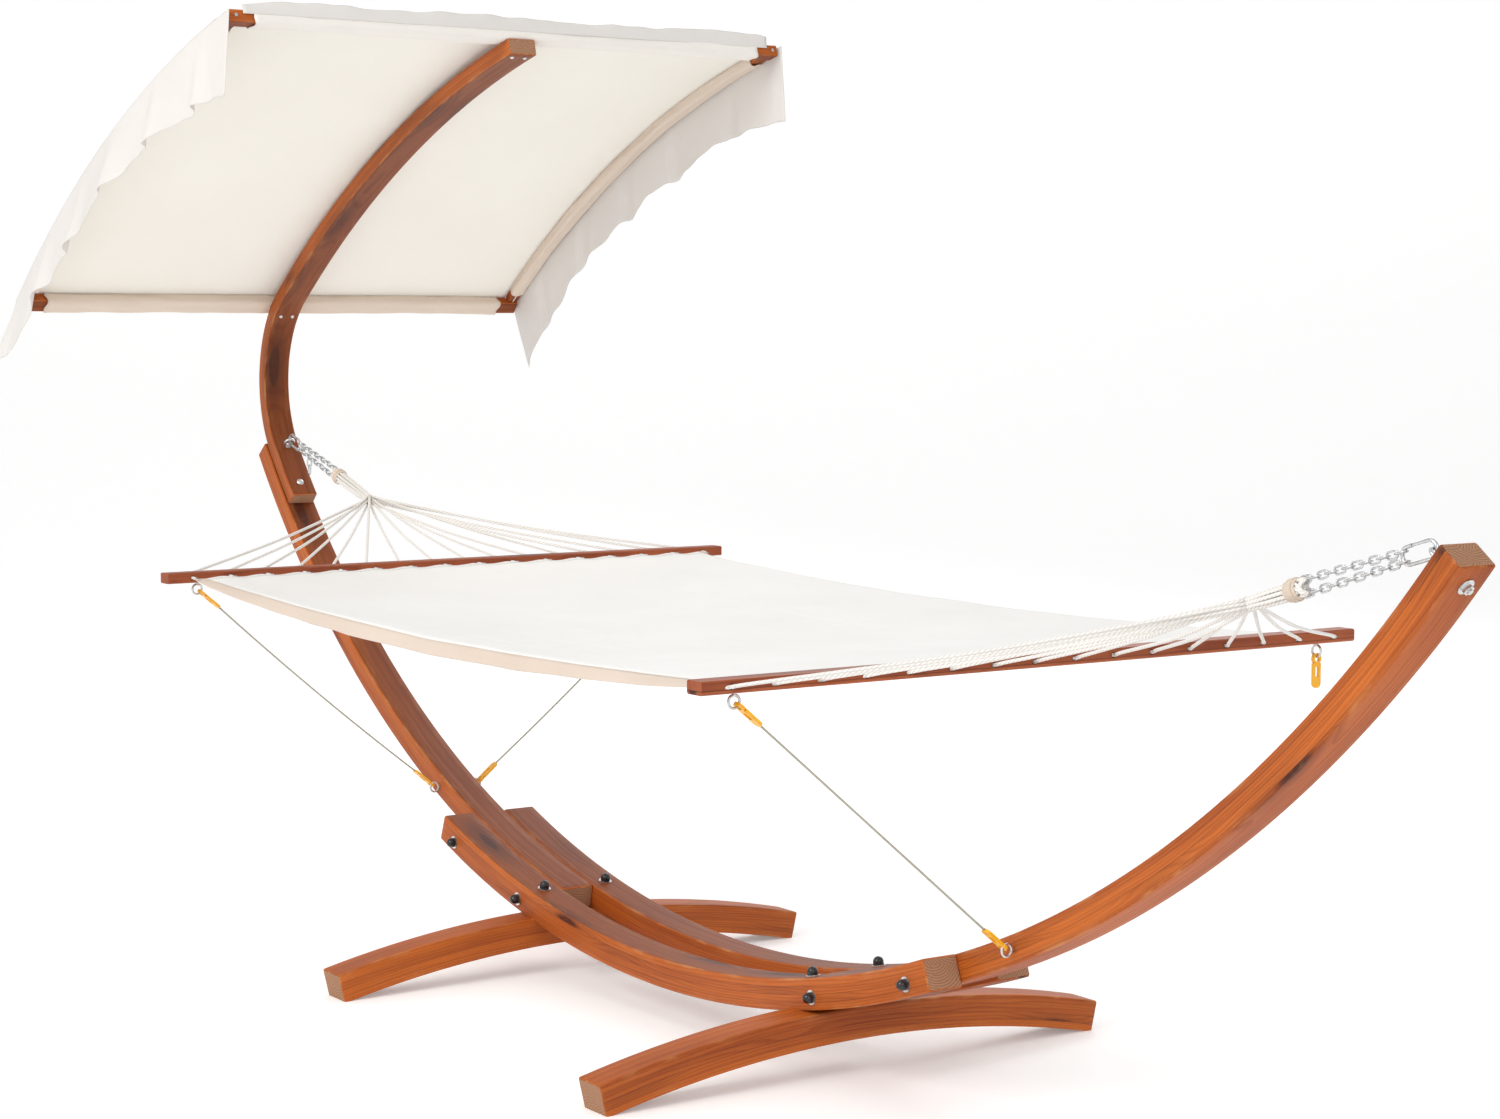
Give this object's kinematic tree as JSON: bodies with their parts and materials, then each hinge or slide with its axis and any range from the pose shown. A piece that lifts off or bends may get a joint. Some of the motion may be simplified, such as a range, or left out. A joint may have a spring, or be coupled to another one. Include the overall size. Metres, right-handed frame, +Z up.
{
  "type": "hammock on stand",
  "caption": "Free-standing garden hammock with spreader bars, hung on a curved timber stand with a fabric sunshade over the head end.",
  "frame": {"origin": "on the ground, midway between the two cross feet and on the hammock's centre line", "axes": "+X towards the foot end, along the hammock; +Y across it; +Z up"},
  "size_m": [4.3161, 1.53, 2.1997],
  "materials": {
    "stained_timber": "satin orange-brown stain on laminated softwood",
    "bar_timber": "satin red-brown varnish",
    "zinc_steel": "zinc plated",
    "black_plastic": "gloss",
    "shade_cloth": "plain weave",
    "white_canvas": "quilted canvas",
    "white_rope": "braided",
    "yellow_plastic": "gloss",
    "grey_cord": "braided"
  },
  "bodies": {
    "stand": {"rail_front": "stained_timber", "rail_rear": "stained_timber", "arm_head": "stained_timber", "arm_foot": "stained_timber", "cross_foot_head": "stained_timber", "cross_foot_foot": "stained_timber", "side_bolts": "zinc_steel", "side_bolt_washers": "zinc_steel", "side_bolt_caps": "black_plastic", "foot_bolts": "zinc_steel", "foot_bolt_washers": "zinc_steel", "foot_bolt_caps": "black_plastic", "canopy_pole": "stained_timber", "pole_bolt": "zinc_steel", "pole_bolt_nut": "zinc_steel", "canopy_bar_low": "stained_timber", "canopy_bar_high": "stained_timber", "batten_near": "stained_timber", "batten_far": "stained_timber", "pole_screws": "zinc_steel", "corner_screws": "zinc_steel", "shade_panel": "shade_cloth", "sleeve_low": "shade_cloth", "sleeve_high": "shade_cloth", "sleeve_near": "shade_cloth", "sleeve_far": "shade_cloth", "valance_near": "shade_cloth", "valance_far": "shade_cloth", "eye_bolts": "zinc_steel", "eye_bolt_washers": "zinc_steel", "eye_bolt_nuts": "zinc_steel", "arm_eyes": "zinc_steel", "lower_clips": "yellow_plastic"},
    "head_gate": {"gate_head": "zinc_steel"},
    "foot_gate": {"gate_foot": "zinc_steel"},
    "spare_clip": {"spare_clip": "yellow_plastic"},
    "chain_tail": {"chain_tail": "zinc_steel"},
    "hammock": {"spring_hook_head": "zinc_steel", "spring_hook_foot": "zinc_steel", "gate_pins": "zinc_steel", "chain_head": "zinc_steel", "chain_foot": "zinc_steel", "rope_bundle_head": "white_rope", "rope_bundle_foot": "white_rope", "whipping_head": "white_rope", "whipping_foot": "white_rope", "fan_ropes_head": "white_rope", "fan_ropes_foot": "white_rope", "spreader_bar_head": "bar_timber", "spreader_bar_foot": "bar_timber", "bed": "white_canvas", "bar_eyes": "zinc_steel", "upper_clips": "yellow_plastic", "tie_cord_head_near": "grey_cord", "tie_cord_head_far": "grey_cord", "tie_cord_foot_near": "grey_cord"}
  },
  "joints": [
    {"name": "hammock_swing", "type": "hinge", "parent": "stand", "child": "hammock", "pos_m": [2.06529, 0, 1.14761], "axis": [1, 0, -0.0059], "range_deg": [-4, 4], "deforming": ["tie_cord_head_near", "tie_cord_head_far", "tie_cord_foot_near"]},
    {"name": "head_gate_open", "type": "hinge", "parent": "hammock", "child": "head_gate", "pos_m": [-1.98949, 0, 1.17298], "axis": [0, -1, 0], "range_deg": [0, 25], "stiffness_Nm_per_rad": 0.02},
    {"name": "foot_gate_open", "type": "hinge", "parent": "hammock", "child": "foot_gate", "pos_m": [2.01889, 0, 1.1489], "axis": [0, 1, 0], "range_deg": [0, 25], "stiffness_Nm_per_rad": 0.02},
    {"name": "spare_clip_swing", "type": "hinge", "parent": "hammock", "child": "spare_clip", "pos_m": [1.145, 0.685, 0.8445], "axis": [1, 0, 0], "range_deg": [-60, 60]},
    {"name": "chain_tail_swing", "type": "hinge", "parent": "hammock", "child": "chain_tail", "pos_m": [-1.92068, 0, 1.12167], "axis": [0.9583, 0, -0.2857], "range_deg": [-55, 55]}
  ]
}
